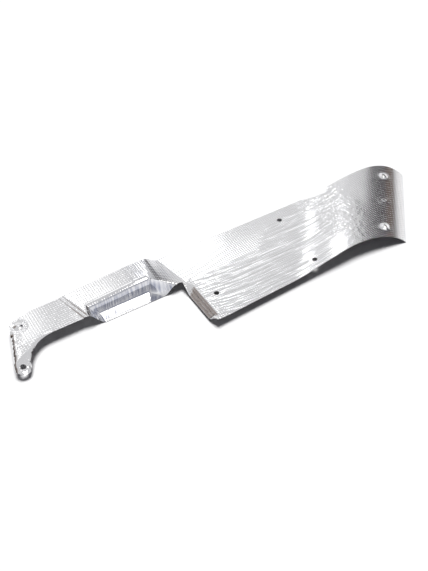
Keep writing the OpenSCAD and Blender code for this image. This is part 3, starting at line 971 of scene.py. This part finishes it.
def arrange(tree):
    """Stands the nodes in columns, each to the left of all that read it."""
    column = {made.name: 0 for made in tree.nodes}
    for _ in tree.nodes:
        for wire in tree.links:
            reader = column[wire.to_node.name]
            column[wire.from_node.name] = max(column[wire.from_node.name], reader + 1)
    filled = {}
    for made in tree.nodes:
        k = column[made.name]
        made.location = (-NODE_APART[0] * k, -NODE_APART[1] * filled.get(k, 0))
        filled[k] = filled.get(k, 0) + 1


# Waves of the lattice: how far they waver, how sharp its dots are and how unevenly they are pressed
WAVER = {"Distortion": 0.5, "Detail": 1.0, "Detail Scale": 0.4}
WAVES_IN_SCALE = 20
DOT_SHARPNESS = 1.9
GRAIN_SCALE, GRAIN_DETAIL, GRAIN_RANGE, UNEVEN = 420, 2, (0.36, 0.64), (0.3, 1.0)

# Draw marks: stretch, scale and roughness of their noise, and how it becomes painted reflection on the walls
DRAW_MARKS = ((1.0, 0.1, 0.1), 330, 0.5)
MARK_RANGE, MARK_SHADE = (0.38, 0.62), (0.35, 1.0)
WRINKLES = ((0.16, 1.0, 1.0), 260, 0.5)
CRUMPLES = ((0.8, 1.0, 1.0), 165, 0.6)

# Patches of duller and brighter shine
PATCH_SCALE, PATCH_DETAIL, PATCH_SHINE = 60, 3, (0.75, 1.25)


def embossed_aluminium(finish):
    """Bare aluminium with a pressed lattice, fine wrinkles and a little unevenness in its shine, with painted
    shade on the lattice dots, a painted blue-grey reflection on the drawn walls, painted shade on the
    underside and near-black cut edges that partly paint contact shade.
    """
    made = bpy.data.materials.new("embossed_aluminium")
    made.use_nodes = True
    tree = made.node_tree
    tree.nodes.clear()
    texture = node(tree, "ShaderNodeTexCoord")
    place = texture.outputs["Object"]

    scale = 2 * math.pi / (WAVES_IN_SCALE * finish.emboss_pitch)
    waves = [
        node(tree, "ShaderNodeTexWave", {"Scale": scale, "Vector": place, **WAVER}, bands_direction=direction)
        for direction in ("X", "Y")
    ]
    lattice = work_out(tree, "MULTIPLY", waves[0].outputs["Fac"], waves[1].outputs["Fac"])
    grain = noise(tree, place, GRAIN_SCALE, GRAIN_DETAIL)
    dots = work_out(tree, "POWER", lattice, DOT_SHARPNESS)
    dots = work_out(tree, "MULTIPLY", dots, map_range(tree, grain, *GRAIN_RANGE, *UNEVEN))
    dots = work_out(tree, "MULTIPLY", dots, share_of(tree, "pressed"))

    # Painted shade on the lattice dots: their colour is darkened towards the valleys colour
    dull = work_out(tree, "MULTIPLY", dots, finish.lattice_shade)
    colours = {"Factor": dull, "A": (*finish.metal, 1), "B": (*finish.valleys, 1)}
    shade = node(tree, "ShaderNodeMix", colours, data_type="RGBA").outputs["Result"]
    # Painted reflection: streaky blue-grey laid over the drawn walls and the slope's top bend
    marks = map_range(tree, stretched_noise(tree, place, *DRAW_MARKS), *MARK_RANGE, *MARK_SHADE)
    shade = blend(tree, work_out(tree, "MULTIPLY", marks, share_of(tree, "drawn")), shade, finish.painted_wall_reflection)
    # Painted shade: faces that point down get the darker underside colour
    facing = node(tree, "ShaderNodeSeparateXYZ", {"Vector": texture.outputs["Normal"]})
    under = work_out(tree, "LESS_THAN", facing.outputs["Z"], 0.0)
    shade = blend(tree, under, shade, finish.shaded_underside)
    # Partly painted shade: the cut faces are near black, for the dull edge and the contact shade along it
    shade = blend(tree, share_of(tree, "cut"), shade, finish.cut_edge_and_contact_shade)

    normal = bump(tree, dots, finish.emboss_depth)
    for name, kind, depth in (
        ("worked", WRINKLES, finish.wrinkle_depth),
        ("drawn", DRAW_MARKS, finish.streak_depth),
        ("crumpled", CRUMPLES, finish.crumple_depth),
    ):
        relief = work_out(tree, "MULTIPLY", stretched_noise(tree, place, *kind), share_of(tree, name))
        normal = bump(tree, relief, depth, normal)

    patches = noise(tree, place, PATCH_SCALE, PATCH_DETAIL)
    dullest, brightest = (finish.roughness * share for share in PATCH_SHINE)
    shine = map_range(tree, patches, 0.0, 1.0, dullest, brightest)
    inputs = {"Metallic": 1.0, "Base Color": shade, "Roughness": shine, "Normal": normal}
    metal = node(tree, "ShaderNodeBsdfPrincipled", inputs)
    node(tree, "ShaderNodeOutputMaterial", {"Surface": metal.outputs["BSDF"]})
    arrange(tree)
    return made


# Grey of the room over the height of the mirrored ray
SKY = (
    (0.0, (0.98, 0.97, 0.96)),
    (0.25, (0.90, 0.90, 0.909)),
    (0.45, (0.78, 0.78, 0.7878)),
    (0.62, (0.70, 0.70, 0.707)),
    (1.0, (0.68, 0.68, 0.69)),
)

# Darker places of the room that the metal mirrors: bearing, half breadth and haze in degrees, lower edge
# and its haze, upper edge and its haze as heights of the mirrored ray, and colour
DARK_PLACES = (
    (12, 29, 10, 0.20, 0.26, 0.66, 0.09, (0.06, 0.055, 0.06)),
    (17.5, 4.5, 4, 0.22, 0.10, 0.44, 0.10, (0.11, 0.065, 0.045)),
    (150, 45, 8, 0.38, 0.06, 0.66, 0.08, (0.34, 0.30, 0.28)),
    (142, 30, 8, 0.02, 0.04, 0.38, 0.06, (0.05, 0.035, 0.03)),
    (-65, 35, 8, 0.40, 0.06, 0.52, 0.06, (0.30, 0.32, 0.40)),
)

# Panels overhead that the metal mirrors, by their edges on a ceiling one unit up: left, right, near and far.
# The bright part is where the square and the left panel shine most.
PANEL_BLUR = 0.018
SQUARE_PANEL = (0.475, 0.608, 0.867, 1.14)
LEFT_PANEL = (0.02, 0.165, 0.895, 1.14)
LOW_PANEL = (0.325, 0.46, 0.85, 0.9)
FRONT_PANEL = (0.25, 0.52, -0.85, -0.1)
VEIL_PANEL = (0.1, 0.235, 0.895, 1.14)
BESIDE_PANEL = (0.1, 0.24, 0.35, 0.79)
BRIGHT_PART = (0.0, 0.6, 0.915, 1.14)
# A strip that runs to the right: slope of an edge and where it begins and is full, then its two ends
STRIP_NEAR, STRIP_FAR = (0.055, 0.892, 0.905), (0.2, 1.050, 1.036)
STRIP_ENDS, STRIP_TOP = (0.3, 0.93), (0.925, 0.905)
PALE, WHITE, BRIGHT, FRONT = (1.25, 1.25, 1.25), (1.9, 1.9, 1.9), (2.9, 2.9, 2.9), (4.5, 4.4, 4.2)

# The ceiling's places are worked out for rays no flatter than this
LOWEST_RISE = 0.05

# Light from all round, backdrop, floor and camera
FILL_COLOUR = (0.92, 0.90, 1.0, 1)
BACKDROP = (1, 1, 1, 1)
FLOOR_SIZE = 8
AIM_X, AIM_Y = 10.8, 23.45
LENS, FILM_H = 50, 36


class SHIELD_OT_lay_stage(bpy.types.Operator):
    """Lay the pale floor, light it softly from above and set the camera"""

    bl_idname = "shield.lay_stage"
    bl_label = "Stage"

    def execute(self, context):
        stage = context.scene.shield_stage
        floor_z = -context.scene.shield_sizes.plate_h
        self.floor(stage, floor_z)
        self.lamp(context, stage)
        self.surroundings(context, stage)
        self.camera(context, stage, floor_z)
        context.scene.view_settings.view_transform = "Standard"
        return {"FINISHED"}

    def floor(self, stage, floor_z):
        """A pale, dull floor under the lowest edges of the shield."""
        bpy.ops.object.select_all(action="DESELECT")
        bpy.ops.mesh.primitive_plane_add(size=FLOOR_SIZE, location=(0, 0, 0))
        floor = bpy.context.object
        floor.name = "floor"
        for vertex in floor.data.vertices:
            vertex.co.z = floor_z
        made = bpy.data.materials.new("pale_floor")
        made.use_nodes = True
        paint = made.node_tree.nodes["Principled BSDF"]
        paint.inputs["Base Color"].default_value = (*stage.floor_colour, 1)
        paint.inputs["Roughness"].default_value = 0.9
        paint.inputs["Specular IOR Level"].default_value = 0.1
        floor.data.materials.append(made)

    def lamp(self, context, stage):
        """One broad lamp overhead, a little behind the shield, that lights the floor and draws the shadow."""
        data = bpy.data.lights.new("overhead", "SUN")
        data.energy = stage.lamp_level
        data.angle = stage.lamp_spread
        lamp = bpy.data.objects.new("overhead", data)
        context.collection.objects.link(lamp)
        behind = Vector((math.sin(stage.camera_turn), math.cos(stage.camera_turn), 0))
        towards = behind * math.sin(stage.lamp_lean) + Vector((0, 0, math.cos(stage.lamp_lean)))
        lamp.rotation_euler = towards.to_track_quat("Z", "Y").to_euler()
        lamp.visible_glossy = False

    def surroundings(self, context, stage):
        """A light room for the metal to mirror, a dim light from all round, and white behind it all."""
        world = bpy.data.worlds.new("studio")
        context.scene.world = world
        world.use_nodes = True
        world.cycles.sampling_method = "NONE"
        tree = world.node_tree
        tree.nodes.clear()
        room = node(tree, "ShaderNodeBackground", {"Color": self.room(tree)})
        dim = node(tree, "ShaderNodeBackground", {"Color": FILL_COLOUR, "Strength": stage.fill})
        plain = node(tree, "ShaderNodeBackground", {"Color": BACKDROP})
        path = node(tree, "ShaderNodeLightPath").outputs
        seen = room.outputs["Background"]
        for ray, other in (("Is Diffuse Ray", dim), ("Is Camera Ray", plain)):
            inputs = {"Fac": path[ray], 1: seen, 2: other.outputs["Background"]}
            seen = node(tree, "ShaderNodeMixShader", inputs).outputs["Shader"]
        node(tree, "ShaderNodeOutputWorld", {"Surface": seen})
        arrange(tree)

    def room(self, tree):
        """Colour of the room: pale low down and grey above, with darker places and white panels."""
        place = node(tree, "ShaderNodeTexCoord").outputs["Generated"]
        x, y, z = node(tree, "ShaderNodeSeparateXYZ", {"Vector": place}).outputs
        bands = node(tree, "ShaderNodeValToRGB", {"Fac": z})
        stops = bands.color_ramp.elements
        for at, colour in SKY[1:-1]:
            stops.new(at).color = (*colour, 1)
        for stop, (at, colour) in ((stops[0], SKY[0]), (stops[-1], SKY[-1])):
            stop.position = at
            stop.color = (*colour, 1)
        sky = bands.outputs["Color"]
        turn = work_out(tree, "ARCTAN2", y, x)
        for middle, half, haze, low, low_haze, high, high_haze, colour in DARK_PLACES:
            left, right = math.radians(middle - half), math.radians(middle + half)
            side = soft_band(tree, turn, left, right, math.radians(haze))
            up = smooth_step(tree, z, low - low_haze / 2, low + low_haze / 2)
            down = smooth_step(tree, z, high + high_haze / 2, high - high_haze / 2)
            dark = work_out(tree, "MULTIPLY", side, work_out(tree, "MULTIPLY", up, down))
            sky = blend(tree, dark, sky, colour)
        rise = work_out(tree, "MAXIMUM", z, LOWEST_RISE)
        along, across = (work_out(tree, "DIVIDE", part, rise) for part in (x, y))
        for share, colour in self.panels(tree, along, across):
            sky = blend(tree, share, sky, colour)
        return sky

    def panels(self, tree, along, across):
        """Shares of the panels overhead with their colours, from the palest to the brightest."""

        def window(limits, blur_along=PANEL_BLUR, blur_across=PANEL_BLUR):
            left, right, near, far = limits
            inside = soft_band(tree, along, left, right, blur_along)
            return work_out(tree, "MULTIPLY", inside, soft_band(tree, across, near, far, blur_across))

        def edge(slant, begin, full):
            return smooth_step(tree, work_out(tree, "MULTIPLY_ADD", along, slant, across), begin, full)

        square, left, low = window(SQUARE_PANEL), window(LEFT_PANEL), window(LOW_PANEL)
        strip = work_out(tree, "MULTIPLY", edge(*STRIP_NEAR), edge(*STRIP_FAR))
        ends = soft_band(tree, along, *STRIP_ENDS, PANEL_BLUR)
        ends = work_out(tree, "MULTIPLY", ends, smooth_step(tree, across, *STRIP_TOP))
        strip = work_out(tree, "MULTIPLY", strip, ends)
        both = work_out(tree, "MAXIMUM", square, left)
        white = work_out(tree, "MAXIMUM", work_out(tree, "MAXIMUM", both, low), strip)
        pale = work_out(tree, "MAXIMUM", window(VEIL_PANEL, 2 * PANEL_BLUR), window(BESIDE_PANEL))
        bright = work_out(tree, "MULTIPLY", window(BRIGHT_PART, PANEL_BLUR, 2 * PANEL_BLUR), both)
        return (pale, PALE), (white, WHITE), (bright, BRIGHT), (window(FRONT_PANEL), FRONT)

    def camera(self, context, stage, floor_z):
        """The camera looks down over the front of the shield, with its near end at the left."""
        data = bpy.data.cameras.new("camera")
        data.sensor_fit = "VERTICAL"
        data.sensor_height = FILM_H
        data.lens = LENS
        camera = bpy.data.objects.new("camera", data)
        context.collection.objects.link(camera)
        aim = Vector((AIM_X * MM, AIM_Y * MM, floor_z))
        level = Vector((math.sin(stage.camera_turn), math.cos(stage.camera_turn), 0))
        back = stage.camera_distance * math.cos(stage.camera_height)
        up = stage.camera_distance * math.sin(stage.camera_height)
        camera.location = aim - back * level + Vector((0, 0, up))
        camera.rotation_euler = (camera.location - aim).to_track_quat("Z", "Y").to_euler()
        context.scene.camera = camera


class SHIELD_PT_sidebar(bpy.types.Panel):
    bl_idname = "SHIELD_PT_sidebar"
    bl_label = "Heat shield"
    bl_space_type = "VIEW_3D"
    bl_region_type = "UI"
    bl_category = "Heat shield"

    def draw(self, context):
        layout = self.layout
        for group in (context.scene.shield_sizes, context.scene.shield_finish, context.scene.shield_stage):
            box = layout.box()
            for name in group.__annotations__:
                box.prop(group, name)
        layout.operator(SHIELD_OT_press_sheet.bl_idname)
        layout.operator(SHIELD_OT_lay_stage.bl_idname)


CLASSES = (
    SheetSizes,
    SheetFinish,
    StageSettings,
    SHIELD_OT_press_sheet,
    SHIELD_OT_lay_stage,
    SHIELD_PT_sidebar,
)


def register():
    for made in CLASSES:
        bpy.utils.register_class(made)
    bpy.types.Scene.shield_sizes = PointerProperty(type=SheetSizes)
    bpy.types.Scene.shield_finish = PointerProperty(type=SheetFinish)
    bpy.types.Scene.shield_stage = PointerProperty(type=StageSettings)


def unregister():
    del bpy.types.Scene.shield_stage
    del bpy.types.Scene.shield_finish
    del bpy.types.Scene.shield_sizes
    for made in reversed(CLASSES):
        bpy.utils.unregister_class(made)


def main():
    register()
    bpy.ops.shield.press_sheet()
    bpy.ops.shield.lay_stage()


if __name__ == "__main__":
    main()
